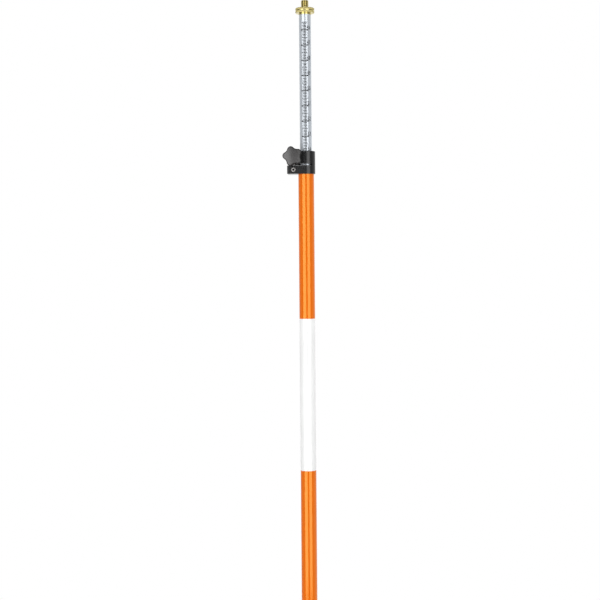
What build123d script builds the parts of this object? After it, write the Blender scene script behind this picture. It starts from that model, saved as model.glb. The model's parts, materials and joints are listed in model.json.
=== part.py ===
from build123d import *
import math
import os

# Survey prism pole: a graduated inner tube that telescopes out of a banded outer tube and is held
# by a split clamp, with a brass prism stud on top and a steel ground point below.
# Millimetres. The origin is the sharp end of the ground point, +Z runs up the pole, the clamp's
# lugs point to -X and its star knob faces -Y.

# Fits: radial clearances, and the play left along the axis
running_clearance = 0.08
seat_clearance = 0.04
end_play = 0.2

# Tubes
outer_tube_diameter = 31.75
outer_tube_wall = 1.65
outer_tube_length = 1219.2
inner_tube_diameter = 24.0
inner_tube_wall = 1.6
inner_tube_length = 1164.0
tube_edge_chamfer = 0.4
clamp_seat_step = 0.25
rest_extension = 274.8

# Clamp: a U-shaped block with two collars, parted by a level slit in its front half
clamp_radius = 18.5
clamp_lug_reach = 37.0
clamp_corner_radius = 2.5
clamp_edge_chamfer = 0.7
lower_collar_height = 16.8
collar_slit_height = 3.9
upper_collar_height = 25.2
collar_slit_reach = 12.6
jaw_gap = 2.5
tube_stop_thickness = 1.3
lug_bolt_offset = 24.4
knob_axis_drop = 11.6

# Clamp liner: a split sleeve between the upper collar and the inner tube
liner_wall = 2.4
liner_lip_width = 1.6
liner_lip_thickness = 1.6

# Bush in the mouth of the outer tube
mouth_bush_length = 40.0
mouth_bush_flange = 1.2

# Pinch screw of the lower collar
pinch_screw_diameter = 5.0
pinch_head_diameter = 8.5
pinch_head_height = 5.0
pinch_socket_width = 4.0
pinch_socket_depth = 3.4
pinch_head_recess = 0.5
pinch_head_room = 0.6
pinch_screw_length = 25.0

# Star knob with its stud, washer and captive nut
knob_diameter = 40.0
knob_valley_diameter = 31.6
knob_lobes = 5
knob_lobe_radius = 7.0
knob_first_lobe_angle = 33.0
knob_head_thickness = 14.0
knob_crown_radius = 110.0
knob_rim_fillet = 2.4
knob_back_fillet = 1.0
knob_hub_diameter = 19.0
knob_hub_neck_diameter = 16.0
knob_hub_height = 5.0
knob_stud_diameter = 8.0
knob_stud_embedment = 13.0
knob_stud_chamfer = 0.8
knob_washer_diameter = 18.0
knob_washer_thickness = 1.6
knob_nut_width = 13.0
knob_nut_height = 6.5

# Brass adapter on top: stud, knurled flange, neck and spigot
adapter_stud_diameter = 15.875
adapter_stud_length = 15.9
adapter_stud_chamfer = 1.2
adapter_relief_diameter = 12.4
adapter_relief_length = 3.0
adapter_flange_diameter = 38.1
adapter_flange_thickness = 9.8
adapter_flange_chamfer = 0.6
adapter_groove_width = 2.0
adapter_groove_depth = 0.9
adapter_neck_length = 3.3
adapter_spigot_length = 32.0
adapter_pin_diameter = 4.0
adapter_pin_drop = 18.0

# Foot of the inner tube: plug, turning guide bush, washer and screw
inner_plug_spigot_length = 30.0
inner_plug_shoulder = 3.0
inner_plug_pin_diameter = 4.0
inner_plug_pin_rise = 16.0
guide_journal_diameter = 17.0
guide_bush_length = 40.0
guide_waist_depth = 0.8
guide_land_length = 9.0
guide_washer_diameter = 23.0
guide_washer_thickness = 2.0
guide_screw_diameter = 6.0
guide_screw_length = 22.0
guide_screw_head_diameter = 11.0
guide_screw_head_height = 3.4
guide_screw_socket_width = 4.0
guide_screw_socket_depth = 2.0

# Foot of the outer tube: plug, cross pin and rubber stop
foot_plug_length = 45.0
foot_plug_flange = 4.0
foot_pin_diameter = 4.0
foot_pin_rise = 30.0
pin_end_setback = 0.2
stop_diameter = 25.0
stop_thickness = 8.0
stop_stem_diameter = 8.0
stop_stem_length = 8.0
stop_edge_chamfer = 1.5

# Ground point: body screwed into the foot plug, and its replaceable tip
point_thread_diameter = 15.875
point_thread_length = 22.0
point_thread_chamfer = 1.2
point_rim_length = 21.7
point_cone_length = 52.0
point_cone_shoulder = 1.4
point_nose_diameter = 13.0
point_bar_hole_diameter = 6.0
point_edge_chamfer = 0.5
tip_cone_length = 24.0
tip_end_diameter = 0.8
tip_collar_diameter = 11.0
tip_collar_length = 4.0
tip_thread_diameter = 6.0
tip_thread_length = 14.0
hole_bottom_room = 1.5

# Radii and levels that follow from the sizes above
outer_radius = outer_tube_diameter / 2
outer_bore = outer_radius - outer_tube_wall
inner_radius = inner_tube_diameter / 2
inner_bore = inner_radius - inner_tube_wall
clamp_seat_radius = outer_radius - clamp_seat_step

tip_collar_top = tip_cone_length + tip_collar_length
point_cone_top = tip_collar_top + point_cone_length
point_top = point_cone_top + point_rim_length
tube_bottom = point_top + foot_plug_flange
foot_plug_top = tube_bottom + foot_plug_length
tube_top = tube_bottom + outer_tube_length

tube_grip = lower_collar_height - tube_stop_thickness - mouth_bush_flange
clamp_bottom = tube_top - tube_grip
lower_collar_top = clamp_bottom + lower_collar_height
upper_collar_bottom = lower_collar_top + collar_slit_height
clamp_top = upper_collar_bottom + upper_collar_height

inner_tube_top = clamp_top + rest_extension
inner_tube_bottom = inner_tube_top - inner_tube_length
flange_bottom = inner_tube_top + adapter_neck_length
flange_top = flange_bottom + adapter_flange_thickness
stud_top = flange_top + adapter_stud_length

guide_bush_top = inner_tube_bottom - inner_plug_shoulder - end_play
guide_bush_bottom = guide_bush_top - guide_bush_length
guide_washer_top = guide_bush_bottom - end_play
guide_washer_bottom = guide_washer_top - guide_washer_thickness
guide_screw_bottom = guide_washer_bottom - guide_screw_head_height

liner_outer_radius = inner_radius + running_clearance + liner_wall
liner_lip_radius = liner_outer_radius + liner_lip_width
collar_bore = liner_outer_radius + seat_clearance

knob_axis_height = clamp_top - knob_axis_drop
pinch_axis_height = clamp_bottom + lower_collar_height / 2
knob_hub_base = knob_washer_thickness
knob_head_base = knob_hub_base + knob_hub_height
knob_face = knob_head_base + knob_head_thickness
knob_nut_pocket_depth = knob_nut_height + end_play
knob_stud_reach = 2 * clamp_radius - pin_end_setback


# Builders shared by several pieces
def turned(*profile):
    """Solid of revolution about Z from (radius, height) points."""
    return revolve(Plane.XZ * make_face(Polyline(*profile, close=True)), Axis.Z)


def ring(outer, inner, bottom, top):
    """Plain hollow cylinder between two levels."""
    return turned((inner, bottom), (outer, bottom), (outer, top), (inner, top))


def rod(radius, bottom, top):
    """Plain cylinder on the Z axis between two levels."""
    return turned((0, bottom), (radius, bottom), (radius, top), (0, top))


def hex_prism(width, bottom, top):
    """Six-sided prism, measured across its flats."""
    outline = RegularPolygon(width / 2, 6, major_radius=False)
    return extrude(Pos(0, 0, bottom) * outline, top - bottom)


def facing_front(x, depth, height):
    """Frame on a point of the clamp whose Z axis looks out along -Y."""
    return Plane(origin=(x, -depth, height), x_dir=(1, 0, 0), z_dir=(0, -1, 0))


def cross_pin(diameter, half_length, height):
    """Straight pin across the pole, along X."""
    return Pos(0, 0, height) * Rot(0, 90, 0) * Cylinder(diameter / 2, 2 * half_length)


# Ground point and the foot of the outer tube
def make_point_tip():
    collar = tip_collar_diameter / 2
    thread = tip_thread_diameter / 2
    return turned(
        (0, 0),
        (tip_end_diameter / 2, 0),
        (collar, tip_cone_length),
        (collar, tip_collar_top),
        (thread, tip_collar_top),
        (thread, tip_collar_top + tip_thread_length),
        (0, tip_collar_top + tip_thread_length),
    )


def make_point_body():
    thread = point_thread_diameter / 2
    thread_top = point_top + point_thread_length
    cone_top_radius = outer_radius - point_cone_shoulder
    body = turned(
        (0, tip_collar_top),
        (point_nose_diameter / 2, tip_collar_top),
        (cone_top_radius, point_cone_top),
        (outer_radius, point_cone_top),
        (outer_radius, point_top - point_edge_chamfer),
        (outer_radius - point_edge_chamfer, point_top),
        (thread, point_top),
        (thread, thread_top - point_thread_chamfer),
        (thread - point_thread_chamfer, thread_top),
        (0, thread_top),
    )
    tip_hole_top = tip_collar_top + tip_thread_length + hole_bottom_room
    body -= rod(tip_thread_diameter / 2 + seat_clearance, tip_collar_top, tip_hole_top)
    bar_hole_height = point_cone_top + point_rim_length / 2
    return body - cross_pin(point_bar_hole_diameter, 2 * outer_radius, bar_hole_height)


def make_foot_plug():
    body_radius = outer_bore - seat_clearance
    plug = turned(
        (0, point_top),
        (outer_radius, point_top),
        (outer_radius, tube_bottom),
        (body_radius, tube_bottom),
        (body_radius, foot_plug_top),
        (0, foot_plug_top),
    )
    thread_hole_top = point_top + point_thread_length + hole_bottom_room
    plug -= rod(point_thread_diameter / 2 + seat_clearance, point_top, thread_hole_top)
    stem_hole_bottom = foot_plug_top - stop_stem_length - hole_bottom_room
    plug -= rod(stop_stem_diameter / 2 + seat_clearance, stem_hole_bottom, foot_plug_top)
    return plug - foot_pin_hole()


def foot_pin_hole():
    return cross_pin(
        foot_pin_diameter + 2 * seat_clearance, 2 * outer_radius, tube_bottom + foot_pin_rise
    )


def make_foot_pin():
    return cross_pin(foot_pin_diameter, outer_radius - pin_end_setback, tube_bottom + foot_pin_rise)


def make_rubber_stop():
    radius = stop_diameter / 2
    stem = stop_stem_diameter / 2
    top = foot_plug_top + stop_thickness
    return turned(
        (0, foot_plug_top - stop_stem_length),
        (stem, foot_plug_top - stop_stem_length),
        (stem, foot_plug_top),
        (radius, foot_plug_top),
        (radius, top - stop_edge_chamfer),
        (radius - stop_edge_chamfer, top),
        (0, top),
    )


def make_outer_tube():
    """Tube whose top end is turned down a little to seat in the clamp."""
    edge = tube_edge_chamfer
    body = turned(
        (outer_bore, tube_bottom),
        (outer_radius - edge, tube_bottom),
        (outer_radius, tube_bottom + edge),
        (outer_radius, clamp_bottom),
        (clamp_seat_radius, clamp_bottom),
        (clamp_seat_radius, tube_top - edge),
        (clamp_seat_radius - edge, tube_top),
        (outer_bore, tube_top),
    )
    return body - foot_pin_hole()


def make_mouth_bush():
    bore = inner_radius + running_clearance
    return turned(
        (bore, tube_top - mouth_bush_length),
        (outer_bore - seat_clearance, tube_top - mouth_bush_length),
        (outer_bore - seat_clearance, tube_top),
        (clamp_seat_radius, tube_top),
        (clamp_seat_radius, tube_top + mouth_bush_flange),
        (bore, tube_top + mouth_bush_flange),
    )


# Clamp: the block, its liner and its screws
def clamp_block():
    outline = make_face(
        Curve()
        + Polyline(
            (0, -clamp_radius),
            (-clamp_lug_reach, -clamp_radius),
            (-clamp_lug_reach, clamp_radius),
            (0, clamp_radius),
        )
        + ThreePointArc((0, clamp_radius), (clamp_radius, 0), (0, -clamp_radius))
    )
    lug_corners = outline.vertices().group_by(Axis.X)[0]
    outline = fillet(lug_corners, clamp_corner_radius)
    block = extrude(Pos(0, 0, clamp_bottom) * outline, clamp_top - clamp_bottom)
    rims = block.faces().sort_by(Axis.Z)
    return chamfer(rims[0].edges() + rims[-1].edges(), clamp_edge_chamfer)


def collar_bores():
    tube_seat = clamp_bottom + tube_grip + mouth_bush_flange
    tube_hole = rod(clamp_seat_radius + seat_clearance, clamp_bottom, tube_seat)
    liner_hole = rod(collar_bore, clamp_bottom, clamp_top)
    lip_seat = rod(liner_lip_radius + seat_clearance, clamp_top - liner_lip_thickness, clamp_top)
    return tube_hole + liner_hole + lip_seat


def collar_slit():
    """Level cut that frees the front half of the upper collar, with a full round at its blind end."""
    end_radius = collar_slit_height / 2
    end_centre = collar_slit_reach - end_radius
    middle = lower_collar_top + end_radius
    length = clamp_lug_reach + end_centre
    straight = Pos(-length / 2, 0, 0) * Box(length, clamp_radius, collar_slit_height)
    round_end = Rot(90, 0, 0) * Cylinder(end_radius, clamp_radius)
    return Pos(end_centre, -clamp_radius / 2, middle) * (straight + round_end)


def jaw_split():
    """Upright cut that parts the lugs into front and rear jaws."""
    height = clamp_top - clamp_bottom
    return Pos(-clamp_lug_reach / 2, 0, clamp_bottom + height / 2) * Box(
        clamp_lug_reach, jaw_gap, height
    )


def knob_frame():
    """Frame on the clamp's front face, at the knob's axis, looking out along -Y."""
    return facing_front(-lug_bolt_offset, clamp_radius, knob_axis_height)


def make_clamp_body():
    body = clamp_block() - collar_bores() - collar_slit() - jaw_split()
    pinch_face = facing_front(-lug_bolt_offset, clamp_radius, pinch_axis_height)
    head_hole_depth = pinch_head_height + pinch_head_recess
    head_hole = rod(pinch_head_diameter / 2 + pinch_head_room, -head_hole_depth, 0)
    screw_hole = rod(
        pinch_screw_diameter / 2 + seat_clearance,
        -head_hole_depth - pinch_screw_length - hole_bottom_room,
        0,
    )
    body -= pinch_face * (head_hole + screw_hole)

    rear_reach = 2 * clamp_radius
    stud_hole = rod(knob_stud_diameter / 2 + running_clearance, -rear_reach, 0)
    nut_pocket = hex_prism(
        knob_nut_width + 2 * seat_clearance, -rear_reach, -rear_reach + knob_nut_pocket_depth
    )
    return body - knob_frame() * (stud_hole + nut_pocket)


def make_clamp_liner():
    bore = inner_radius + running_clearance
    lip_bottom = clamp_top - liner_lip_thickness
    sleeve = turned(
        (bore, upper_collar_bottom),
        (liner_outer_radius, upper_collar_bottom),
        (liner_outer_radius, lip_bottom),
        (liner_lip_radius, lip_bottom),
        (liner_lip_radius, clamp_top),
        (bore, clamp_top),
    )
    split = Pos(-liner_lip_radius / 2, 0, (upper_collar_bottom + clamp_top) / 2) * Box(
        liner_lip_radius, jaw_gap, upper_collar_height
    )
    return sleeve - split


def make_pinch_screw():
    head = pinch_head_diameter / 2
    shank = pinch_screw_diameter / 2
    seat = -pinch_head_height
    screw = turned(
        (0, seat - pinch_screw_length),
        (shank, seat - pinch_screw_length),
        (shank, seat),
        (head, seat),
        (head, 0),
        (0, 0),
    )
    screw -= hex_prism(pinch_socket_width, -pinch_socket_depth, 0)
    place = facing_front(-lug_bolt_offset, clamp_radius - pinch_head_recess, pinch_axis_height)
    return place * screw


def make_knob_nut():
    bottom = -2 * clamp_radius + end_play / 2
    nut = hex_prism(knob_nut_width, bottom, bottom + knob_nut_height)
    nut -= rod(knob_stud_diameter / 2 + running_clearance, bottom, bottom + knob_nut_height)
    return knob_frame() * nut


def make_knob_washer():
    washer = ring(
        knob_washer_diameter / 2,
        knob_stud_diameter / 2 + running_clearance,
        0,
        knob_washer_thickness,
    )
    return knob_frame() * washer


def knob_outline():
    """Ring of lobe arcs and valley arcs that meet each other at a tangent."""
    lobe_reach = knob_diameter / 2 - knob_lobe_radius
    valley_reach = knob_valley_diameter / 2
    half_step = math.pi / knob_lobes
    cosine = math.cos(half_step)
    spread = lobe_reach**2 + valley_reach**2 - 2 * lobe_reach * valley_reach * cosine
    valley_radius = (spread - knob_lobe_radius**2) / (
        2 * (knob_lobe_radius - valley_reach + lobe_reach * cosine)
    )
    valley_centre = valley_reach + valley_radius
    meet = knob_lobe_radius / (knob_lobe_radius + valley_radius)

    def polar(radius, angle):
        return Vector(radius * math.cos(angle), radius * math.sin(angle))

    arcs = []
    for lobe in range(knob_lobes):
        angle = math.radians(knob_first_lobe_angle) + 2 * half_step * lobe
        centre = polar(lobe_reach, angle)
        before = centre + (polar(valley_centre, angle - half_step) - centre) * meet
        after = centre + (polar(valley_centre, angle + half_step) - centre) * meet
        next_angle = angle + 2 * half_step
        next_centre = polar(lobe_reach, next_angle)
        arrive = next_centre + (polar(valley_centre, angle + half_step) - next_centre) * meet
        arcs.append(ThreePointArc(before, polar(knob_diameter / 2, angle), after))
        arcs.append(ThreePointArc(after, polar(valley_reach, angle + half_step), arrive))
    return make_face(Curve() + arcs)


def make_star_knob():
    head = extrude(Pos(0, 0, knob_head_base) * knob_outline(), knob_head_thickness)
    crown = Pos(0, 0, knob_face - knob_crown_radius) * Sphere(knob_crown_radius)
    head &= crown
    faces = head.faces().sort_by(Axis.Z)
    head = fillet(faces[-1].edges(), knob_rim_fillet)
    back = head.faces().sort_by(Axis.Z)[0]
    head = fillet(back.edges(), knob_back_fillet)
    hub = turned(
        (0, knob_hub_base),
        (knob_hub_diameter / 2, knob_hub_base),
        (knob_hub_neck_diameter / 2, knob_head_base),
        (0, knob_head_base),
    )
    knob = head + hub
    stud_hole_radius = knob_stud_diameter / 2 + seat_clearance
    knob -= rod(stud_hole_radius, knob_hub_base, knob_hub_base + knob_stud_embedment)
    return knob_frame() * knob


def make_knob_stud():
    radius = knob_stud_diameter / 2
    top = knob_hub_base + knob_stud_embedment
    stud = turned(
        (0, -knob_stud_reach),
        (radius - knob_stud_chamfer, -knob_stud_reach),
        (radius, -knob_stud_reach + knob_stud_chamfer),
        (radius, top),
        (0, top),
    )
    return knob_frame() * stud


# Sliding inner section: tube, brass adapter and foot
def adapter_pin_hole():
    return cross_pin(
        adapter_pin_diameter + 2 * seat_clearance, 2 * inner_radius, inner_tube_top - adapter_pin_drop
    )


def inner_plug_pin_hole():
    return cross_pin(
        inner_plug_pin_diameter + 2 * seat_clearance,
        2 * inner_radius,
        inner_tube_bottom + inner_plug_pin_rise,
    )


def make_inner_tube():
    edge = tube_edge_chamfer
    body = turned(
        (inner_bore, inner_tube_bottom),
        (inner_radius - edge, inner_tube_bottom),
        (inner_radius, inner_tube_bottom + edge),
        (inner_radius, inner_tube_top - edge),
        (inner_radius - edge, inner_tube_top),
        (inner_bore, inner_tube_top),
    )
    return body - adapter_pin_hole() - inner_plug_pin_hole()


def make_top_adapter():
    spigot = inner_bore - seat_clearance
    flange = adapter_flange_diameter / 2
    edge = adapter_flange_chamfer
    groove_floor = flange - adapter_groove_depth
    groove_bottom = (flange_bottom + flange_top - adapter_groove_width) / 2
    groove_top = groove_bottom + adapter_groove_width
    relief = adapter_relief_diameter / 2
    stud = adapter_stud_diameter / 2
    adapter = turned(
        (0, inner_tube_top - adapter_spigot_length),
        (spigot, inner_tube_top - adapter_spigot_length),
        (spigot, inner_tube_top),
        (inner_radius, inner_tube_top),
        (inner_radius, flange_bottom),
        (flange - edge, flange_bottom),
        (flange, flange_bottom + edge),
        (flange, groove_bottom),
        (groove_floor, groove_bottom),
        (groove_floor, groove_top),
        (flange, groove_top),
        (flange, flange_top - edge),
        (flange - edge, flange_top),
        (relief, flange_top),
        (relief, flange_top + adapter_relief_length),
        (stud, flange_top + adapter_relief_length + stud - relief),
        (stud, stud_top - adapter_stud_chamfer),
        (stud - adapter_stud_chamfer, stud_top),
        (0, stud_top),
    )
    return adapter - adapter_pin_hole()


def make_adapter_pin():
    return cross_pin(
        adapter_pin_diameter, inner_radius - pin_end_setback, inner_tube_top - adapter_pin_drop
    )


def make_inner_plug():
    journal = guide_journal_diameter / 2
    shoulder_bottom = inner_tube_bottom - inner_plug_shoulder
    spigot = inner_bore - seat_clearance
    plug = turned(
        (0, guide_washer_top),
        (journal, guide_washer_top),
        (journal, shoulder_bottom),
        (inner_radius, shoulder_bottom),
        (inner_radius, inner_tube_bottom),
        (spigot, inner_tube_bottom),
        (spigot, inner_tube_bottom + inner_plug_spigot_length),
        (0, inner_tube_bottom + inner_plug_spigot_length),
    )
    plug -= rod(
        guide_screw_diameter / 2 + seat_clearance,
        guide_washer_top,
        guide_washer_bottom + guide_screw_length + hole_bottom_room,
    )
    return plug - inner_plug_pin_hole()


def make_inner_plug_pin():
    return cross_pin(
        inner_plug_pin_diameter,
        inner_radius - pin_end_setback,
        inner_tube_bottom + inner_plug_pin_rise,
    )


def make_guide_bush():
    """Two lands that ride in the outer tube, with a waist between them."""
    land = outer_bore - running_clearance
    waist = land - guide_waist_depth
    bore = guide_journal_diameter / 2 + running_clearance
    lower_land = guide_bush_bottom + guide_land_length
    upper_land = guide_bush_top - guide_land_length
    return turned(
        (bore, guide_bush_bottom),
        (land, guide_bush_bottom),
        (land, lower_land),
        (waist, lower_land + guide_waist_depth),
        (waist, upper_land - guide_waist_depth),
        (land, upper_land),
        (land, guide_bush_top),
        (bore, guide_bush_top),
    )


def make_guide_washer():
    return ring(
        guide_washer_diameter / 2,
        guide_screw_diameter / 2 + seat_clearance,
        guide_washer_bottom,
        guide_washer_top,
    )


def make_guide_screw():
    head = guide_screw_head_diameter / 2
    shank = guide_screw_diameter / 2
    screw = turned(
        (0, guide_screw_bottom),
        (head, guide_screw_bottom),
        (head, guide_washer_bottom),
        (shank, guide_washer_bottom),
        (shank, guide_washer_bottom + guide_screw_length),
        (0, guide_washer_bottom + guide_screw_length),
    )
    socket_top = guide_screw_bottom + guide_screw_socket_depth
    return screw - hex_prism(guide_screw_socket_width, guide_screw_bottom, socket_top)


pieces = {
    "point_tip": make_point_tip,
    "point_body": make_point_body,
    "foot_plug": make_foot_plug,
    "foot_pin": make_foot_pin,
    "rubber_stop": make_rubber_stop,
    "outer_tube": make_outer_tube,
    "mouth_bush": make_mouth_bush,
    "clamp_body": make_clamp_body,
    "clamp_liner": make_clamp_liner,
    "pinch_screw": make_pinch_screw,
    "knob_nut": make_knob_nut,
    "knob_washer": make_knob_washer,
    "star_knob": make_star_knob,
    "knob_stud": make_knob_stud,
    "inner_tube": make_inner_tube,
    "top_adapter": make_top_adapter,
    "adapter_pin": make_adapter_pin,
    "inner_plug": make_inner_plug,
    "inner_plug_pin": make_inner_plug_pin,
    "guide_bush": make_guide_bush,
    "guide_washer": make_guide_washer,
    "guide_screw": make_guide_screw,
}

os.makedirs("parts", exist_ok=True)
for name, make in pieces.items():
    export_step(make(), f"parts/{name}.step")
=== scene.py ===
import json
import math

import bmesh
import bpy
from bpy.props import FloatProperty, FloatVectorProperty, IntProperty, PointerProperty
from mathutils import Matrix, Vector


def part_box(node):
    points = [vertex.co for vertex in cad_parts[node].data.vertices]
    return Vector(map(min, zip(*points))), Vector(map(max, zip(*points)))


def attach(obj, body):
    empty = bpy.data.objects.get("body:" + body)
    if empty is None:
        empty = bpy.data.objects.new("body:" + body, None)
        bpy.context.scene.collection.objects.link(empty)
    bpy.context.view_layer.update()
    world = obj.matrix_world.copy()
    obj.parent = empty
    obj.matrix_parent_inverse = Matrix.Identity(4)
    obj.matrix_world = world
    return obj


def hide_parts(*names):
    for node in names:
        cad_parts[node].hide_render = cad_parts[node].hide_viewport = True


bl_info = {
    "name": "Survey prism pole",
    "version": (1, 0, 0),
    "blender": (4, 5, 0),
    "location": "3D View > Sidebar > Survey pole",
    "description": "Finishes a telescoping survey pole and sets it up in a plain studio",
    "category": "Object",
}

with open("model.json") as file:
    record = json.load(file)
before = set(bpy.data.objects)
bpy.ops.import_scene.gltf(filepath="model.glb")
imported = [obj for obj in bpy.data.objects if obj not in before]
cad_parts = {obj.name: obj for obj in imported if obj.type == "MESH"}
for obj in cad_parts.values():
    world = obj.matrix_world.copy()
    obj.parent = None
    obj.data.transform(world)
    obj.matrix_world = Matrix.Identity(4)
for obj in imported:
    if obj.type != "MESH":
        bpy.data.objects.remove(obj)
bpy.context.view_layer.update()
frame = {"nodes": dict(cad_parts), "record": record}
nodes = frame["nodes"]
mounts = {mount["name"]: mount for mount in frame["record"]["mounts"]}

# Levels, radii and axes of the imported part, in metres
outer_tube_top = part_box("outer_tube")[1].z
inner_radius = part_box("inner_tube")[1].x
inner_tube_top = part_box("inner_tube")[1].z
clamp_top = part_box("clamp_body")[1].z
slit_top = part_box("clamp_liner")[0].z
pinch_screw_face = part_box("pinch_screw")[0].y
knob_stud_low, knob_stud_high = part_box("knob_stud")
knob_axis = (knob_stud_low + knob_stud_high) / 2
washer_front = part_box("knob_washer")[0].y
spigot_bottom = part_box("top_adapter")[0].z
flange_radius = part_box("top_adapter")[1].x
flange_top = mounts["prism_seat"]["pos_m"][2]
stud_radius = mounts["prism_stud"]["dims"]["r_mm"] / 1000
stud_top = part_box("top_adapter")[1].z

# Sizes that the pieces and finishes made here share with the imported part, in metres
slit_height = 0.0039
slit_bottom = slit_top - slit_height
slit_end = 0.0106
jaw_gap = 0.0025
spigot_radius = 0.01036
neck_length = 0.0033
flange_edge = 0.0006
groove_width = 0.002
groove_depth = 0.0009
relief_radius = 0.0062
relief_length = 0.003
stud_chamfer = 0.0012
knob_stud_chamfer = 0.0008

# Printed scale: lengths in metres, and the letters' extra weight and width as shares
foot = 0.3048
hundredth = foot / 100
ink_lift = 0.00003
letter_boldness = 0.03
letter_narrowing = 0.56

# Standard 60 degree thread, as shares of its pitch
crest_flat = 1 / 8
root_flat = 1 / 4
thread_height = 0.6134

# Fineness of the meshes made here
crease_angle = math.radians(38)
mark_facet = math.radians(4)
letter_slice = 0.0006
letter_steps = 3
rows_per_turn = 12
steps_per_diamond = 6
stud_segments = 96
knob_stud_segments = 48
floor_segments = 96

# Colours of the finishes that have no setting
turned_aluminium = (0.76, 0.77, 0.78)
# This grey also paints the highlight along the clamp slit's lower edge
sawn_and_highlight_grey = (0.5, 0.5, 0.5)
turned_steel = (0.62, 0.62, 0.63)
hardened_steel = (0.4, 0.4, 0.41)
blackened_steel = (0.42, 0.41, 0.4)
zinc_blue = (0.62, 0.64, 0.68)
zinc_plain = (0.72, 0.72, 0.71)
zinc_straw = (0.74, 0.71, 0.64)
black_acetal = (0.03, 0.03, 0.031)
stop_rubber = (0.03, 0.03, 0.03)
white = (1, 1, 1)

# Grain of the finishes: the span that most of a noise fills, and scales along X, Y and Z that draw it out
noise_low = 0.3
noise_high = 0.7
drawn_lines = (1, 1, 0.01)
drawn_clouds = (1, 1, 0.3)
lathe_rings = (0.02, 0.02, 1)

# Limits of the painted highlight and the plain areas: lengths in metres, and the cosine of the most that a
# level face tilts
touch = 0.00005
lip_width = 0.0008
crown_middle = 0.0025
level_face = 0.9


# Settings that a user can change
class OuterTubeSettings(bpy.types.PropertyGroup):
    """Enamel bands of the outer tube."""

    top_colour: FloatVectorProperty(
        name="Top colour",
        description="Enamel of the topmost band and every second one below it",
        subtype="COLOR",
        default=(0.86, 0.146, 0.001),
    )
    other_colour: FloatVectorProperty(
        name="Other colour",
        description="Enamel of the bands in between",
        subtype="COLOR",
        default=(0.94, 0.945, 0.94),
    )
    band_length: FloatProperty(
        name="Band length",
        description="Length of one colour band, counted down from the top of the tube",
        default=foot,
        unit="LENGTH",
    )


class InnerTubeSettings(bpy.types.PropertyGroup):
    """Finish and printed scale of the inner tube."""

    tube_colour: FloatVectorProperty(
        name="Tube colour",
        description="Satin anodised aluminium",
        subtype="COLOR",
        default=(0.648, 0.693, 0.745),
    )
    ink_colour: FloatVectorProperty(
        name="Ink colour",
        description="Printed marks and numerals",
        subtype="COLOR",
        default=(0.02, 0.022, 0.025),
    )
    first_mark: IntProperty(
        name="First mark",
        description="Reading of the topmost mark, in hundredths of a foot",
        default=455,
    )
    last_mark: IntProperty(
        name="Last mark",
        description="Reading of the lowest mark, in hundredths of a foot",
        default=808,
    )
    mark_thickness: FloatProperty(
        name="Mark thickness",
        description="Height of a plain printed mark along the tube",
        default=0.0016,
        unit="LENGTH",
    )
    tenth_thickness: FloatProperty(
        name="Tenth thickness",
        description="Height of the bolder mark at each tenth of a foot",
        default=0.0023,
        unit="LENGTH",
    )
    numeral_height: FloatProperty(
        name="Numeral height",
        description="Height of the printed numerals",
        default=0.008,
        unit="LENGTH",
    )


class AdapterSettings(bpy.types.PropertyGroup):
    """Brass adapter that carries the prism."""

    brass_colour: FloatVectorProperty(
        name="Brass colour",
        description="Bright turned brass",
        subtype="COLOR",
        default=(0.69, 0.6, 0.265),
    )
    thread_pitch: FloatProperty(
        name="Thread pitch",
        description="Rise of the stud's thread in one turn, 11 turns to the inch",
        default=0.0254 / 11,
        unit="LENGTH",
        precision=5,
    )
    knurl_count: IntProperty(
        name="Knurl count",
        description="Diamonds of the knurl in one turn round the flange",
        default=100,
    )
    knurl_depth: FloatProperty(
        name="Knurl depth",
        description="Depth of the knurl's grooves",
        default=0.0004,
        unit="LENGTH",
        precision=5,
    )


class ClampSettings(bpy.types.PropertyGroup):
    """Finishes of the clamp and its knob."""

    clamp_colour: FloatVectorProperty(
        name="Clamp colour",
        description="Black anodised aluminium",
        subtype="COLOR",
        default=(0.006, 0.006, 0.0065),
    )
    knob_colour: FloatVectorProperty(
        name="Knob colour",
        description="Moulded plastic of the star knob",
        subtype="COLOR",
        default=(0.055, 0.0525, 0.0525),
    )
    knob_thread_pitch: FloatProperty(
        name="Knob thread pitch",
        description="Rise of the knob stud's thread in one turn",
        default=0.00125,
        unit="LENGTH",
        precision=5,
    )


class StageSettings(bpy.types.PropertyGroup):
    """Plain studio round the pole."""

    left_light: FloatProperty(
        name="Left light",
        description="Brightness of the tall soft light on the left",
        default=2.25,
    )
    right_light: FloatProperty(
        name="Right light",
        description="Brightness of the tall soft light on the right",
        default=2.05,
    )
    room_light: FloatProperty(
        name="Room light",
        description="Brightness of the pale room round the pole",
        default=2.6,
    )
    camera_place: FloatVectorProperty(
        name="Camera place",
        description="Where the camera stands before it turns about the pole",
        subtype="TRANSLATION",
        default=(-0.01368, -2.509, 1.1491),
    )
    viewing_angle: FloatProperty(
        name="Viewing angle",
        description="Turn of the camera and the lights about the pole, to the right of the clamp's front",
        subtype="ANGLE",
        default=math.radians(4.5),
    )
    camera_roll: FloatProperty(
        name="Camera roll",
        description="Small turn of the camera about its own line of sight",
        subtype="ANGLE",
        default=math.radians(0.4675),
    )
    floor_radius: FloatProperty(
        name="Floor radius",
        description="Size of the round floor",
        default=1.2,
        unit="LENGTH",
    )


class PoleSettings(bpy.types.PropertyGroup):
    """All settings of the survey pole."""

    outer_tube: PointerProperty(type=OuterTubeSettings)
    inner_tube: PointerProperty(type=InnerTubeSettings)
    adapter: PointerProperty(type=AdapterSettings)
    clamp: PointerProperty(type=ClampSettings)
    stage: PointerProperty(type=StageSettings)


# Shader nodes
def add_node(tree, kind, inputs=None, **options):
    """Adds a node, sets its options, and fills each input with a value or a link."""
    node = tree.nodes.new(kind)
    for option, value in options.items():
        setattr(node, option, value)
    for socket, value in (inputs or {}).items():
        if isinstance(value, bpy.types.NodeSocket):
            tree.links.new(value, node.inputs[socket])
        else:
            node.inputs[socket].default_value = value
    return node


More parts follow.
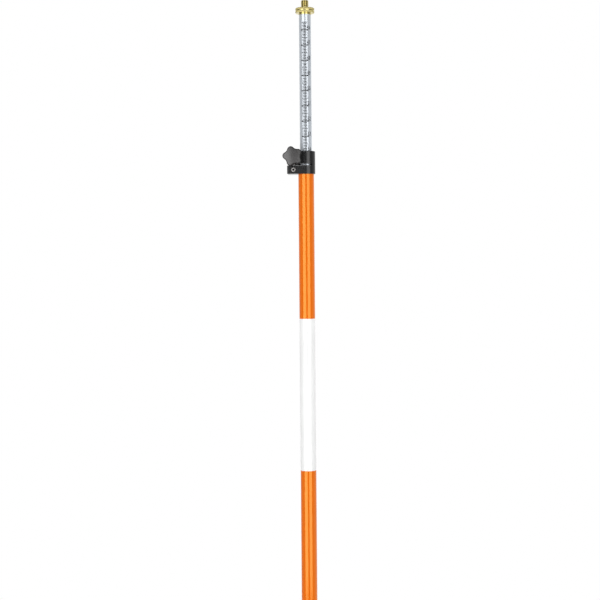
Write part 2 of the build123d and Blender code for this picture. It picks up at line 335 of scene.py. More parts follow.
def object_place(tree):
    """Place on the object, in metres."""
    return add_node(tree, "ShaderNodeTexCoord").outputs["Object"]


def object_normal(tree):
    """Direction that the surface faces, in the object's own axes."""
    return add_node(tree, "ShaderNodeTexCoord").outputs["Normal"]


def axes_of(tree, vector):
    """The X, Y and Z of a vector, by name."""
    return add_node(tree, "ShaderNodeSeparateXYZ", {"Vector": vector}).outputs


def distance_from_axis(tree, axis, place=(0, 0, 0)):
    """Distance from a line along the X, Y or Z axis that goes through a place."""
    inputs = {0: object_place(tree), 1: place}
    away = add_node(tree, "ShaderNodeVectorMath", inputs, operation="SUBTRACT").outputs["Vector"]
    across = [0.0 if letter == axis else 1.0 for letter in "XYZ"]
    flat = add_node(tree, "ShaderNodeVectorMath", {0: away, 1: across}, operation="MULTIPLY")
    inputs = {0: flat.outputs["Vector"]}
    return add_node(tree, "ShaderNodeVectorMath", inputs, operation="LENGTH").outputs["Value"]


def calculate(tree, operation, first, second=0.0):
    """Result of one step of arithmetic."""
    node = add_node(tree, "ShaderNodeMath", {0: first, 1: second}, operation=operation)
    return node.outputs["Value"]


def product(tree, first, *others):
    """All the values multiplied together."""
    for other in others:
        first = calculate(tree, "MULTIPLY", first, other)
    return first


def within(tree, value, low, high):
    """1 where a value lies from low to high, and 0 elsewhere."""
    inputs = {0: value, 1: (low + high) / 2, 2: (high - low) / 2}
    return add_node(tree, "ShaderNodeMath", inputs, operation="COMPARE").outputs["Value"]


def noise(tree, scale, stretch=(1, 1, 1), detail=2):
    """Noise over the object, about 1/scale metres to a lump, drawn out by the stretch."""
    inputs = {"Vector": object_place(tree), "Scale": stretch}
    place = add_node(tree, "ShaderNodeMapping", inputs).outputs["Vector"]
    inputs = {"Vector": place, "Scale": scale, "Detail": detail}
    return add_node(tree, "ShaderNodeTexNoise", inputs).outputs["Fac"]


def spread(tree, value, low, high, start=noise_low, end=noise_high):
    """Maps the usual span of a noise, or another span, onto a range."""
    inputs = {"Value": value, "From Min": start, "From Max": end, "To Min": low, "To Max": high}
    return add_node(tree, "ShaderNodeMapRange", inputs).outputs["Result"]


def switch(tree, mask, off, on):
    """One value where a mask is 0 and another where it is 1."""
    return spread(tree, mask, off, on, start=0, end=1)


def mixed(tree, kind, share, first, second):
    """Goes from a first colour or vector to a second one as the share goes from 0 to 1."""
    sockets = {"VECTOR": (4, 5, 1), "RGBA": (6, 7, 2)}
    first_input, second_input, output = sockets[kind]
    inputs = {0: share, first_input: first, second_input: second}
    return add_node(tree, "ShaderNodeMix", inputs, data_type=kind).outputs[output]


def colour_ramp(tree, value, *stops):
    """Colour along a ramp of (position, colour) stops."""
    ramp = add_node(tree, "ShaderNodeValToRGB", {"Fac": value})
    elements = ramp.color_ramp.elements
    while len(elements) < len(stops):
        elements.new(0.5)
    for element, (position, colour) in zip(elements, stops):
        element.position = position
        element.color = (*colour, 1)
    return ramp.outputs["Color"]


def grey(level):
    """A plain grey."""
    return (level, level, level)


def grey_ramp(tree, value, stops):
    """Grey along a ramp of (position, level) stops."""
    return colour_ramp(tree, value, *[(position, grey(level)) for position, level in stops])


def shade(colour, factor):
    """A colour made darker or paler."""
    return tuple(min(1.0, channel * factor) for channel in colour)


def clouded(tree, clouds, colour, darker, paler, end=noise_high):
    """A colour that a noise shades from a darker to a paler tone."""
    dark = shade(colour, darker)
    pale = shade(colour, paler)
    return colour_ramp(tree, clouds, (noise_low, dark), (end, pale))


def toned(tree, colour, tone):
    """A linked colour made darker or paler by a linked tone."""
    inputs = {"Color": colour, "Value": tone}
    return add_node(tree, "ShaderNodeHueSaturation", inputs).outputs["Color"]


def start_material(name, metallic=0.0, ior=1.5):
    """New material; returns it with its node tree and its surface shader."""
    material = bpy.data.materials.new(name)
    material.use_nodes = True
    tree = material.node_tree
    surface = tree.nodes["Principled BSDF"]
    surface.inputs["Metallic"].default_value = metallic
    surface.inputs["IOR"].default_value = ior
    return material, tree, surface


def set_looks(tree, surface, colour, roughness, relief, depth):
    """Links a surface's colour and roughness, and raises its fine relief by the depth."""
    tree.links.new(colour, surface.inputs["Base Color"])
    tree.links.new(roughness, surface.inputs["Roughness"])
    inputs = {"Height": relief, "Distance": depth, "Strength": 1.0}
    bump = add_node(tree, "ShaderNodeBump", inputs)
    tree.links.new(bump.outputs["Normal"], surface.inputs["Normal"])


def steady_normal(tree, surface, mask, direction):
    """Makes a surface face a fixed direction, in the object's own axes, where a mask is 1."""
    fixed = add_node(
        tree,
        "ShaderNodeVectorTransform",
        {"Vector": direction},
        vector_type="NORMAL",
        convert_from="OBJECT",
        convert_to="WORLD",
    ).outputs["Vector"]
    smooth = add_node(tree, "ShaderNodeNewGeometry").outputs["Normal"]
    bump = surface.inputs["Normal"].links[0].from_node
    tree.links.new(mixed(tree, "VECTOR", mask, smooth, fixed), bump.inputs["Normal"])


# Materials
def banded_enamel(settings):
    """Glossy enamel in bands, with a faint orange peel and slightly uneven paint edges."""
    material, tree, surface = start_material("banded_enamel", ior=1.95)
    height = axes_of(tree, object_place(tree))["Z"]
    waver = spread(tree, noise(tree, scale=400), low=-0.00015, high=0.00015)
    drop = calculate(tree, "ADD", calculate(tree, "SUBTRACT", outer_tube_top, height), waver)
    pair = calculate(tree, "DIVIDE", drop, 2 * settings.band_length)
    lower_half = calculate(tree, "GREATER_THAN", calculate(tree, "FRACT", pair), 0.5)
    bands = colour_ramp(tree, lower_half, (0, settings.top_colour), (1, settings.other_colour))
    warm_gloss = (1, 1, 0.3)
    gloss_tint = colour_ramp(tree, lower_half, (0, warm_gloss), (1, white))
    tree.links.new(gloss_tint, surface.inputs["Specular Tint"])
    gloss = switch(tree, lower_half, off=0.5, on=0.25)
    tree.links.new(gloss, surface.inputs["Specular IOR Level"])
    tone = spread(tree, noise(tree, scale=18, detail=4), low=0.97, high=1.03)
    roughness = spread(tree, noise(tree, scale=60), low=0.1, high=0.16)
    peel = noise(tree, scale=500)
    set_looks(tree, surface, toned(tree, bands, tone), roughness, relief=peel, depth=0.00001)
    return material


def satin_aluminium(settings):
    """Clear anodised tube with fine lines from drawing along its length."""
    material, tree, surface = start_material("satin_aluminium", metallic=0.45)
    lines = noise(tree, scale=1500, stretch=drawn_lines, detail=4)
    clouds = noise(tree, scale=30, stretch=drawn_clouds)
    colour = clouded(tree, clouds, settings.tube_colour, darker=0.95, paler=1.05)
    roughness = spread(tree, lines, low=0.23, high=0.3)
    set_looks(tree, surface, colour, roughness, relief=lines, depth=0.000004)
    return material


def printed_ink(settings):
    """Slightly worn matt print."""
    material, tree, surface = start_material("printed_ink")
    wear = noise(tree, scale=900, detail=5)
    colour = clouded(tree, wear, settings.ink_colour, darker=0.8, paler=1.8, end=0.75)
    roughness = spread(tree, wear, low=0.5, high=0.65)
    set_looks(tree, surface, colour, roughness, relief=wear, depth=0.000005)
    return material


def turned_metal(name, colour, roughness, tarnish=0.92):
    """Bare metal with fine rings from the lathe and a little tarnish."""
    material, tree, surface = start_material(name, metallic=1.0)
    clouds = noise(tree, scale=120, detail=4)
    tone = clouded(tree, clouds, colour, darker=tarnish, paler=1.04)
    rings = noise(tree, scale=900, stretch=lathe_rings, detail=4)
    gloss = spread(tree, rings, low=0.85 * roughness, high=1.2 * roughness)
    set_looks(tree, surface, tone, gloss, relief=rings, depth=0.000006)
    return material


def knurled_brass(settings):
    """Turned brass, bright where it is plain and dulled by handling on the flange's knurl."""
    material, tree, surface = start_material("knurled_brass")
    clouds = noise(tree, scale=120, detail=4)
    colour = clouded(tree, clouds, settings.brass_colour, darker=0.93, paler=1.05)
    knurl_floor = flange_radius - settings.knurl_depth - touch
    knurled = calculate(tree, "GREATER_THAN", distance_from_axis(tree, "Z"), knurl_floor)
    tree.links.new(switch(tree, knurled, off=1, on=0.55), surface.inputs["Metallic"])
    rings = noise(tree, scale=900, stretch=lathe_rings, detail=4)
    turned = spread(tree, rings, low=0.2, high=0.28)
    dulled = switch(tree, knurled, off=0, on=0.6)
    roughness = calculate(tree, "MAXIMUM", turned, dulled)
    set_looks(tree, surface, colour, roughness, relief=rings, depth=0.000006)
    return material


def black_anodise(settings):
    """Satin black anodise, grey metal in the sawn slit, a painted highlight along the slit's lower edge,
    smooth underneath.
    """
    material, tree, surface = start_material("black_anodise", ior=1.6)
    clouds = noise(tree, scale=70, detail=3)
    anodised = clouded(tree, clouds, settings.clamp_colour, darker=0.85, paler=1.25)
    place = axes_of(tree, object_place(tree))
    in_front = calculate(tree, "LESS_THAN", place["Y"], jaw_gap / 2 + touch)
    along_slit = product(tree, in_front, calculate(tree, "LESS_THAN", place["X"], slit_end))
    sawn = product(tree, along_slit, within(tree, place["Z"], slit_bottom - touch, slit_top + touch))
    # Painted highlight: a narrow band along the slit's lower edge, strongest by the knob, in the sawn grey
    lip_highlight = product(tree, along_slit, within(tree, place["Z"], slit_bottom - lip_width, slit_bottom))
    from_knob = distance_from_axis(tree, "Y", knob_axis)
    highlight_near_knob = spread(tree, from_knob, low=0.4, high=0, start=0.02, end=0.045)
    patches = spread(tree, noise(tree, scale=350, detail=4), low=0.55, high=1.3)
    bare_and_highlight = calculate(tree, "MAXIMUM", sawn, product(tree, lip_highlight, highlight_near_knob, patches))
    colour = mixed(tree, "RGBA", bare_and_highlight, anodised, (*sawn_and_highlight_grey, 1))
    tree.links.new(switch(tree, sawn, off=0.5, on=0), surface.inputs["Specular IOR Level"])
    grain = noise(tree, scale=2200, detail=3)
    milled = spread(tree, grain, low=0.22, high=0.29)
    upward = axes_of(tree, object_normal(tree))["Z"]
    underside = calculate(tree, "LESS_THAN", upward, -level_face)
    roughness = product(tree, milled, switch(tree, underside, off=1, on=0.3))
    set_looks(tree, surface, colour, roughness, relief=grain, depth=0.000003)
    return material


def moulded_plastic(name, colour, roughness, grain_scale=2600, ior=1.5):
    """Moulded or turned plastic with a fine matt grain."""
    material, tree, surface = start_material(name, ior=ior)
    clouds = noise(tree, scale=90, detail=3)
    tone = clouded(tree, clouds, colour, darker=0.92, paler=1.08)
    grain = noise(tree, grain_scale)
    gloss = spread(tree, grain, low=0.9 * roughness, high=1.12 * roughness)
    set_looks(tree, surface, tone, gloss, relief=grain, depth=0.00001)
    return material


def knob_plastic(settings):
    """Moulded plastic with painted light and shade: dark and dull on the lobes' sides, the crown paler
    lower down and darker higher up.
    """
    material = moulded_plastic("knob_plastic_grain", settings.knob_colour, roughness=0.27, ior=1.75)
    tree = material.node_tree
    surface = tree.nodes["Principled BSDF"]
    middle = calculate(tree, "LESS_THAN", distance_from_axis(tree, "Y", knob_axis), crown_middle)
    facing = calculate(tree, "ABSOLUTE", axes_of(tree, object_normal(tree))["Y"])
    level_part = spread(tree, facing, low=0, high=1, start=0.95, end=0.983)
    crown = calculate(tree, "MAXIMUM", level_part, middle)
    # Painted light and shade: the crown's colour paler towards the bottom and darker towards the top
    height = axes_of(tree, object_place(tree))["Z"]
    above_axis = calculate(tree, "SUBTRACT", height, knob_axis.z)
    painted_light_by_height = spread(tree, above_axis, low=1.4, high=0.85, start=-0.012, end=0.014)
    # Painted shade: the lobes' sides darkened to a quarter of the crown's colour, with less shine
    tone = product(tree, switch(tree, crown, off=0.25, on=1), painted_light_by_height)
    grained = surface.inputs["Base Color"].links[0].from_socket
    tree.links.new(toned(tree, grained, tone), surface.inputs["Base Color"])
    shine = switch(tree, crown, off=0.1, on=0.5)
    tree.links.new(shine, surface.inputs["Specular IOR Level"])
    steady_normal(tree, surface, middle, direction=(0, -1, 0))
    return material


def socket_steel():
    """Blackened steel of a socket screw, with painted shade behind the face of its head."""
    material, tree, surface = start_material("socket_steel", metallic=1.0)
    # Painted shade: the colour turns nearly black behind the face of the head, in the socket
    depth = calculate(tree, "SUBTRACT", axes_of(tree, object_place(tree))["Y"], pinch_screw_face)
    behind = spread(tree, depth, low=0, high=1, start=0, end=0.001)
    colour = colour_ramp(tree, behind, (0.3, blackened_steel), (0.9, shade(blackened_steel, 0.02)))
    grain = noise(tree, scale=1800, detail=3)
    roughness = spread(tree, grain, low=0.28, high=0.42)
    set_looks(tree, surface, colour, roughness, relief=grain, depth=0.000006)
    return material


def zinc_plate():
    """Plated steel with the faint blue and straw clouding of zinc."""
    material, tree, surface = start_material("zinc_plate", metallic=1.0)
    clouds = noise(tree, scale=300, detail=4)
    stops = ((noise_low, zinc_blue), (0.5, zinc_plain), (noise_high, zinc_straw))
    colour = colour_ramp(tree, clouds, *stops)
    grain = noise(tree, scale=1800, detail=3)
    roughness = spread(tree, grain, low=0.26, high=0.4)
    set_looks(tree, surface, colour, roughness, relief=grain, depth=0.000006)
    return material


def floor_finish(radius):
    """Pale floor that keeps its shadows and turns to the white of the background."""
    material, tree, surface = start_material("pale_floor")
    grain = noise(tree, scale=40, detail=4)
    colour = grey_ramp(tree, grain, ((noise_low, 0.86), (noise_high, 0.9)))
    roughness = spread(tree, grain, low=0.6, high=0.7)
    set_looks(tree, surface, colour, roughness, relief=grain, depth=0.0001)
    fade = spread(tree, distance_from_axis(tree, "Z"), low=0.5, high=1, start=0, end=0.95 * radius)
    seen = add_node(tree, "ShaderNodeLightPath").outputs["Is Camera Ray"]
    glow = add_node(tree, "ShaderNodeEmission", {"Color": (*white, 1), "Strength": 1.0})
    inputs = {0: product(tree, fade, seen), 1: surface.outputs[0], 2: glow.outputs[0]}
    mix = add_node(tree, "ShaderNodeMixShader", inputs)
    tree.links.new(mix.outputs[0], tree.nodes["Material Output"].inputs["Surface"])
    return material


# Meshes
def dress(material, *names):
    """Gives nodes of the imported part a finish."""
    for name in names:
        nodes[name].material_slots[0].material = material


def add_piece(name, shape, material, body, place=Matrix.Identity(4)):
    """Turns a built shape into a piece that rides on a body."""
    mesh = bpy.data.meshes.new(name)
    shape.transform(place)
    shape.normal_update()
    shape.to_mesh(mesh)
    shape.free()
    mesh.materials.append(material)
    piece = bpy.data.objects.new(name, mesh)
    bpy.context.scene.collection.objects.link(piece)
    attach(piece, body)
    return piece


def shade_smooth(piece):
    """Smooth shading that keeps the edges sharper than the crease angle."""
    piece.data.shade_smooth()
    piece.data.set_sharp_from_angle(angle=crease_angle)


def add_turned(shape, profile, segments, radius_at):
    """Adds a closed turned shell; radius_at gives the radius at a profile point and angle."""
    rings = []
    for radius, height in profile:
        ring = []
        for step in range(segments):
            angle = math.tau * step / segments
            reach = radius_at(radius, height, angle)
            ring.append(shape.verts.new((reach * math.cos(angle), reach * math.sin(angle), height)))
        rings.append(ring)
    for lower, upper in zip(rings, rings[1:]):
        for step in range(segments):
            after = (step + 1) % segments
            shape.faces.new((lower[step], lower[after], upper[after], upper[step]))
    shape.faces.new(reversed(rings[0]))
    shape.faces.new(rings[-1])


def levels(low, high, step):
    """Evenly spaced heights from low to high, at most a step apart."""
    rounding = 1e-6
    count = max(1, math.ceil((high - low) / step - rounding))
    return [low + (high - low) * index / count for index in range(count + 1)]


def wave(turns):
    """Triangle wave of period 1, from 0 in the groove to 1 on the ridge."""
    return 1 - abs(2 * (turns % 1.0) - 1)


def thread_depth(turns, pitch):
    """Depth of the thread below its crest, after some turns."""
    flank = (1 - wave(turns) - crest_flat) / (1 - crest_flat - root_flat)
    return thread_height * pitch * min(1.0, max(0.0, flank))


def thread_rows(radius, low, high, pitch):
    """Profile points of a thread."""
    return [(radius, height) for height in levels(low, high, pitch / rows_per_turn)]


def adapter_flange(shape, settings):
    """Spigot, neck and knurled flange of the brass adapter."""
    flange_bottom = inner_tube_top + neck_length
    groove_bottom = (flange_bottom + flange_top - groove_width) / 2
    groove_top = groove_bottom + groove_width
    diamond_size = math.tau * flange_radius / settings.knurl_count
    row = diamond_size / steps_per_diamond
    lower_band = levels(flange_bottom + flange_edge, groove_bottom, row)
    upper_band = levels(groove_top, flange_top - flange_edge, row)
    profile = [
        (spigot_radius, spigot_bottom),
        (spigot_radius, inner_tube_top),
        (inner_radius, inner_tube_top),
        (inner_radius, flange_bottom),
        (flange_radius - flange_edge, flange_bottom),
        *[(flange_radius, height) for height in lower_band],
        (flange_radius - groove_depth, groove_bottom),
        (flange_radius - groove_depth, groove_top),
        *[(flange_radius, height) for height in upper_band],
        (flange_radius - flange_edge, flange_top),
        (relief_radius, flange_top),
    ]

    def radius_at(radius, height, angle):
        if radius < flange_radius:
            return radius
        across = angle / math.tau * settings.knurl_count
        along = height / diamond_size
        diamond = min(wave(across + along), wave(across - along))
        return radius - settings.knurl_depth * (1 - diamond)

    add_turned(shape, profile, steps_per_diamond * settings.knurl_count, radius_at)


def adapter_stud(shape, settings):
    """Relief and threaded stud, from just inside the flange."""
    pitch = settings.thread_pitch
    relief_top = flange_top + relief_length
    profile = [
        (relief_radius, flange_top - groove_depth),
        *thread_rows(stud_radius, relief_top, stud_top, pitch),
    ]

    def radius_at(radius, height, angle):
        if height < relief_top:
            return radius
        turns = height / pitch - angle / math.tau
        run_out = relief_radius + height - relief_top
        chamfer = stud_radius - stud_chamfer + stud_top - height
        return min(radius - thread_depth(turns, pitch), run_out, chamfer)

    add_turned(shape, profile, stud_segments, radius_at)


def threaded_rod(radius, chamfer, thread_length, length, pitch):
    """Rod that rises along Z from 0, threaded and chamfered at its low end and plain above."""
    shape = bmesh.new()
    profile = [*thread_rows(radius, 0, thread_length, pitch), (radius, length)]

    def radius_at(plain_radius, height, angle):
        if height > thread_length:
            return plain_radius
        turns = height / pitch - angle / math.tau
        return min(plain_radius - thread_depth(turns, pitch), plain_radius - chamfer + height)

    add_turned(shape, profile, knob_stud_segments, radius_at)
    return shape


def on_tube(angle, height):
    """Point just above the inner tube, at an angle from its front towards +X."""
    radius = inner_radius + ink_lift
    return Vector((radius * math.sin(angle), -radius * math.cos(angle), height))


def add_mark(shape, middle, arc, height, thickness):
    """One printed mark, bent round the tube."""
    count = math.ceil(arc / mark_facet)
    columns = []
    for step in range(count + 1):
        angle = middle + arc * (step / count - 0.5)
        low = shape.verts.new(on_tube(angle, height - thickness / 2))
        high = shape.verts.new(on_tube(angle, height + thickness / 2))
        columns.append((low, high))
    for (low, high), (next_low, next_high) in zip(columns, columns[1:]):
        shape.faces.new((low, next_low, next_high, high))


def flat_words(words):
    """Flat shape of some words, with its baseline on X."""
    curve = bpy.data.curves.new(words, "FONT")
    curve.body = words
    curve.resolution_u = letter_steps
    curve.offset = letter_boldness
    holder = bpy.data.objects.new(words, curve)
    mesh = bpy.data.meshes.new_from_object(holder)
    shape = bmesh.new()
    shape.from_mesh(mesh)
    bpy.data.objects.remove(holder)
    bpy.data.curves.remove(curve)
    bpy.data.meshes.remove(mesh)
    return shape


def add_numeral(shape, words, start, base, height):
    """Upright narrow words bent round the tube, from a starting angle and a base line."""
    flat = flat_words(words)
    scale = height / max(vert.co.y for vert in flat.verts)
    flat.transform(Matrix.Diagonal((letter_narrowing * scale, scale, 1, 1)))
    width = max(vert.co.x for vert in flat.verts)
    for cut in levels(0, width, letter_slice)[1:-1]:
        everything = flat.verts[:] + flat.edges[:] + flat.faces[:]
        bmesh.ops.bisect_plane(flat, geom=everything, plane_co=(cut, 0, 0), plane_no=(1, 0, 0))
    for vert in flat.verts:
        vert.co = on_tube(start + vert.co.x / inner_radius, base + vert.co.y)
    mesh = bpy.data.meshes.new(words)
    flat.to_mesh(mesh)
    flat.free()
    shape.from_mesh(mesh)
    bpy.data.meshes.remove(mesh)


# Operators, one for each piece or group of like pieces
class PaintOuterTube(bpy.types.Operator):
    """Paint the outer tube in enamel bands"""

    bl_idname = "survey_pole.paint_outer_tube"
    bl_label = "Paint outer tube"

    def execute(self, context):
        dress(banded_enamel(context.scene.survey_pole.outer_tube), "outer_tube")
        return {"FINISHED"}


class FinishInnerTube(bpy.types.Operator):
    """Give the sliding inner tube its satin anodised finish"""

    bl_idname = "survey_pole.finish_inner_tube"
    bl_label = "Finish inner tube"

    def execute(self, context):
        dress(satin_aluminium(context.scene.survey_pole.inner_tube), "inner_tube")
        return {"FINISHED"}


class PrintScale(bpy.types.Operator):
    """Print marks every hundredth of a foot on the inner tube, with a numeral at each tenth"""

    bl_idname = "survey_pole.print_scale"
    bl_label = "Print scale"

    # Angles round the tube from its front, and heights in metres
    middle = math.radians(-1.3)
    long_arc = math.radians(73)
    half_arc = math.radians(50)
    short_arc = math.radians(37)
    numeral_start = math.radians(23.5)
    numeral_rise = 0.0016
    print_error = 0.0006

    def arc_of(self, reading):
        """Width of a mark: long at a tenth of a foot, less at half a tenth, short in between."""
        if reading % 10 == 0:
            return self.long_arc
        return self.half_arc if reading % 5 == 0 else self.short_arc

    def execute(self, context):
        settings = context.scene.survey_pole.inner_tube
        marks = bmesh.new()
        numerals = bmesh.new()
        for reading in range(settings.first_mark, settings.last_mark + 1):
            height = flange_top + clamp_top + self.print_error - reading * hundredth
            tenth = reading % 10 == 0
            thickness = settings.tenth_thickness if tenth else settings.mark_thickness
            add_mark(marks, self.middle, self.arc_of(reading), height, thickness)
            if tenth:
                base = height + self.numeral_rise
                words = f"{reading / 100:.1f}"
                add_numeral(numerals, words, self.numeral_start, base, settings.numeral_height)
        ink = printed_ink(settings)
        add_piece("scale_marks", marks, ink, "upper_section")
        add_piece("scale_numerals", numerals, ink, "upper_section")
        return {"FINISHED"}


class TurnAdapter(bpy.types.Operator):
    """Make the brass adapter with its knurled flange and threaded stud"""

    bl_idname = "survey_pole.turn_adapter"
    bl_label = "Turn brass adapter"

    def execute(self, context):
        settings = context.scene.survey_pole.adapter
        shape = bmesh.new()
        adapter_flange(shape, settings)
        adapter_stud(shape, settings)
        brass = knurled_brass(settings)
        adapter = add_piece("brass_adapter", shape, brass, "upper_section")
        shade_smooth(adapter)
        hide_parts("top_adapter")
        return {"FINISHED"}


class FinishClamp(bpy.types.Operator):
    """Finish the split clamp, its liner and its pinch screw"""

    bl_idname = "survey_pole.finish_clamp"
    bl_label = "Finish clamp"

    def execute(self, context):
        dress(black_anodise(context.scene.survey_pole.clamp), "clamp_body")
        acetal = moulded_plastic("black_acetal", black_acetal, roughness=0.45)
        dress(acetal, "clamp_liner", "mouth_bush")
        dress(socket_steel(), "pinch_screw")
        dress(zinc_plate(), "knob_nut", "knob_washer")
        return {"FINISHED"}


class FinishKnob(bpy.types.Operator):
    """Finish the star knob and cut the thread of its stud"""

    bl_idname = "survey_pole.finish_knob"
    bl_label = "Finish star knob"

    def execute(self, context):
        settings = context.scene.survey_pole.clamp
        dress(knob_plastic(settings), "star_knob")
        shape = threaded_rod(
            radius=(knob_stud_high.x - knob_stud_low.x) / 2,
            chamfer=knob_stud_chamfer,
            thread_length=knob_stud_high.y - washer_front,
            length=knob_stud_high.y - knob_stud_low.y,
            pitch=settings.knob_thread_pitch,
        )
        end = Matrix.Translation((knob_axis.x, knob_stud_high.y, knob_axis.z))
        place = end @ Matrix.Rotation(math.pi / 2, 4, "X")
        stud = add_piece("threaded_knob_stud", shape, zinc_plate(), "knob", place)
        shade_smooth(stud)
        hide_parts("knob_stud")
        return {"FINISHED"}


class FinishGroundPoint(bpy.types.Operator):
    """Finish the ground point and the foot of the outer tube"""

    bl_idname = "survey_pole.finish_ground_point"
    bl_label = "Finish ground point"

    def execute(self, context):
        body = turned_metal("turned_steel", turned_steel, roughness=0.2, tarnish=0.98)
        tip = turned_metal("hardened_tip", hardened_steel, roughness=0.22, tarnish=0.95)
        plug = turned_metal("turned_aluminium", turned_aluminium, roughness=0.3)
        stop = moulded_plastic("stop_rubber_grain", stop_rubber, roughness=0.75, grain_scale=1400)
        dress(body, "point_body")
        dress(tip, "point_tip")
        dress(plug, "foot_plug")
        dress(stop, "rubber_stop")
        dress(zinc_plate(), "foot_pin")
        return {"FINISHED"}


class FinishInnerFittings(bpy.types.Operator):
    """Finish the fittings at the two ends of the inner tube"""

    bl_idname = "survey_pole.finish_inner_fittings"
    bl_label = "Finish inner fittings"

    def execute(self, context):
        plug = turned_metal("plug_aluminium", turned_aluminium, roughness=0.3)
        bush = moulded_plastic("guide_acetal", black_acetal, roughness=0.42)
        dress(plug, "inner_plug")
        dress(bush, "guide_bush")
        dress(zinc_plate(), "adapter_pin", "inner_plug_pin", "guide_washer", "guide_screw")
        return {"FINISHED"}


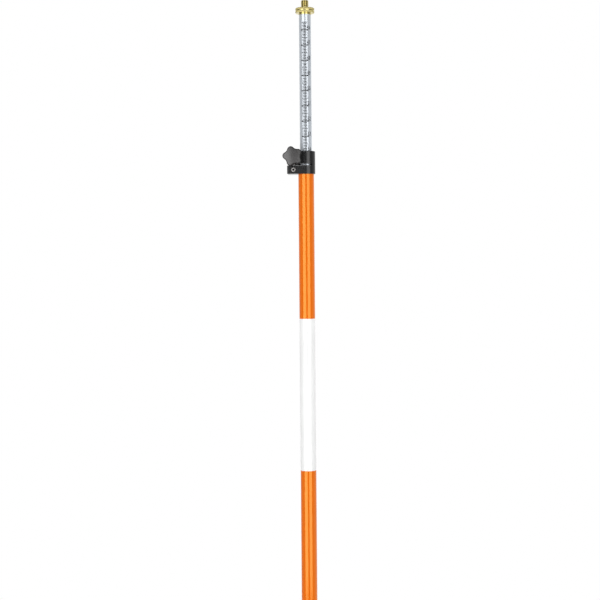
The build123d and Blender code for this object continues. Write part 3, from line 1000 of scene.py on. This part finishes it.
class SetStage(bpy.types.Operator):
    """Set up the floor, the white background, two tall soft lights and the camera"""

    bl_idname = "survey_pole.set_stage"
    bl_label = "Set stage"

    # Greys of the room from its front, 0, to its back, 1, and shares of them from floor to ceiling
    room_greys = ((0, 0.1), (0.19, 0.16), (0.3, 0.26), (0.42, 0.34), (0.58, 0.52), (0.8, 0.65), (0.96, 0.7))
    height_shares = ((0.2, 1), (0.4, 0.6), (0.57, 0.6), (0.85, 0.4))
    mirrored_share = 0.55

    # Places and sizes of the lights in metres, with azimuths to the right of the camera
    light_distance = 2.0
    light_level = 1.15
    light_height = 2.5
    left_azimuth = math.radians(-37)
    left_width = 1.6
    right_azimuth = math.radians(28)
    right_width = 1.42

    # Camera, in millimetres, and its upright shift as a share of the picture
    sensor_width = 36
    focal_length = 74.76
    upright_shift = -0.0758

    def add_floor(self, settings):
        """Round floor under the pole."""
        shape = bmesh.new()
        radius = settings.floor_radius
        bmesh.ops.create_circle(shape, cap_ends=True, segments=floor_segments, radius=radius)
        mesh = bpy.data.meshes.new("floor")
        shape.to_mesh(mesh)
        shape.free()
        mesh.materials.append(floor_finish(radius))
        floor = bpy.data.objects.new("floor", mesh)
        bpy.context.scene.collection.objects.link(floor)

    def add_background(self, settings):
        """White behind the pole, with a greyer room at its sides, in front of it and overhead."""
        world = bpy.data.worlds.new("studio")
        bpy.context.scene.world = world
        world.use_nodes = True
        tree = world.node_tree
        tree.nodes.clear()
        axes = axes_of(tree, add_node(tree, "ShaderNodeTexCoord").outputs["Generated"])
        rays = add_node(tree, "ShaderNodeLightPath").outputs
        backward = spread(tree, axes["Y"], low=0, high=1, start=-1, end=1)
        upward = spread(tree, axes["Z"], low=0, high=1, start=-1, end=1)
        room = grey_ramp(tree, backward, self.room_greys)
        from_floor = grey_ramp(tree, upward, self.height_shares)
        from_right = spread(tree, axes["X"], low=0.75, high=1.05, start=-0.8, end=0.4)
        mirrored = switch(tree, rays["Is Glossy Ray"], off=1, on=self.mirrored_share)
        strength = product(tree, from_floor, from_right, settings.room_light, mirrored)
        around = add_node(tree, "ShaderNodeBackground", {"Color": room, "Strength": strength})
        plain = add_node(tree, "ShaderNodeBackground", {"Color": (*white, 1), "Strength": 1.0})
        behind = spread(tree, axes["Y"], low=0, high=1, start=0.55, end=0.95)
        seen = product(tree, rays["Is Glossy Ray"], behind)
        for direct in ("Is Camera Ray", "Is Transmission Ray"):
            seen = calculate(tree, "MAXIMUM", seen, rays[direct])
        inputs = {0: seen, 1: around.outputs[0], 2: plain.outputs[0]}
        mix = add_node(tree, "ShaderNodeMixShader", inputs)
        add_node(tree, "ShaderNodeOutputWorld", {"Surface": mix.outputs[0]})

    def add_light(self, name, azimuth, width, brightness):
        """Tall soft light that faces the pole from an azimuth."""
        lamp = bpy.data.lights.new(name, "AREA")
        lamp.shape = "RECTANGLE"
        lamp.size = width
        lamp.size_y = self.light_height
        lamp.energy = brightness * math.pi * width * self.light_height
        light = bpy.data.objects.new(name, lamp)
        right = self.light_distance * math.sin(azimuth)
        front = self.light_distance * math.cos(azimuth)
        light.location = (right, -front, self.light_level)
        light.rotation_euler = (math.pi / 2, 0, azimuth)
        light.visible_camera = False
        bpy.context.scene.collection.objects.link(light)

    def add_camera(self, settings):
        """Level camera, a little to the right of the clamp's front."""
        lens = bpy.data.cameras.new("camera")
        lens.sensor_width = self.sensor_width
        lens.lens = self.focal_length
        lens.shift_y = self.upright_shift
        camera = bpy.data.objects.new("camera", lens)
        turn = settings.viewing_angle
        camera.location = Matrix.Rotation(turn, 3, "Z") @ Vector(settings.camera_place)
        camera.rotation_euler = (math.pi / 2, settings.camera_roll, turn)
        bpy.context.scene.collection.objects.link(camera)
        bpy.context.scene.camera = camera

    def execute(self, context):
        settings = context.scene.survey_pole.stage
        turn = settings.viewing_angle
        self.add_floor(settings)
        self.add_background(settings)
        self.add_light("left_light", turn + self.left_azimuth, self.left_width, settings.left_light)
        self.add_light("right_light", turn + self.right_azimuth, self.right_width, settings.right_light)
        self.add_camera(settings)
        context.scene.view_settings.view_transform = "Standard"
        return {"FINISHED"}


# Each step with the group of settings that it uses
steps = (
    ("outer_tube", PaintOuterTube),
    ("inner_tube", FinishInnerTube),
    ("inner_tube", PrintScale),
    ("adapter", TurnAdapter),
    ("clamp", FinishClamp),
    ("clamp", FinishKnob),
    (None, FinishGroundPoint),
    (None, FinishInnerFittings),
    ("stage", SetStage),
)


class SurveyPolePanel(bpy.types.Panel):
    """Settings and steps of the survey pole"""

    bl_idname = "VIEW3D_PT_survey_pole"
    bl_label = "Survey pole"
    bl_space_type = "VIEW_3D"
    bl_region_type = "UI"
    bl_category = "Survey pole"

    def draw(self, context):
        shown = set()
        for group, operator in steps:
            box = self.layout.box()
            if group and group not in shown:
                settings = getattr(context.scene.survey_pole, group)
                for name in settings.__annotations__:
                    box.prop(settings, name)
                shown.add(group)
            box.operator(operator.bl_idname)


classes = (
    OuterTubeSettings,
    InnerTubeSettings,
    AdapterSettings,
    ClampSettings,
    StageSettings,
    PoleSettings,
    *[operator for group, operator in steps],
    SurveyPolePanel,
)


def register():
    for entry in classes:
        bpy.utils.register_class(entry)
    bpy.types.Scene.survey_pole = PointerProperty(type=PoleSettings)


def unregister():
    del bpy.types.Scene.survey_pole
    for entry in reversed(classes):
        bpy.utils.unregister_class(entry)


def main():
    register()
    for group, operator in steps:
        call = getattr(bpy.ops.survey_pole, operator.bl_idname.split(".")[1])
        call()


if __name__ == "__main__":
    main()
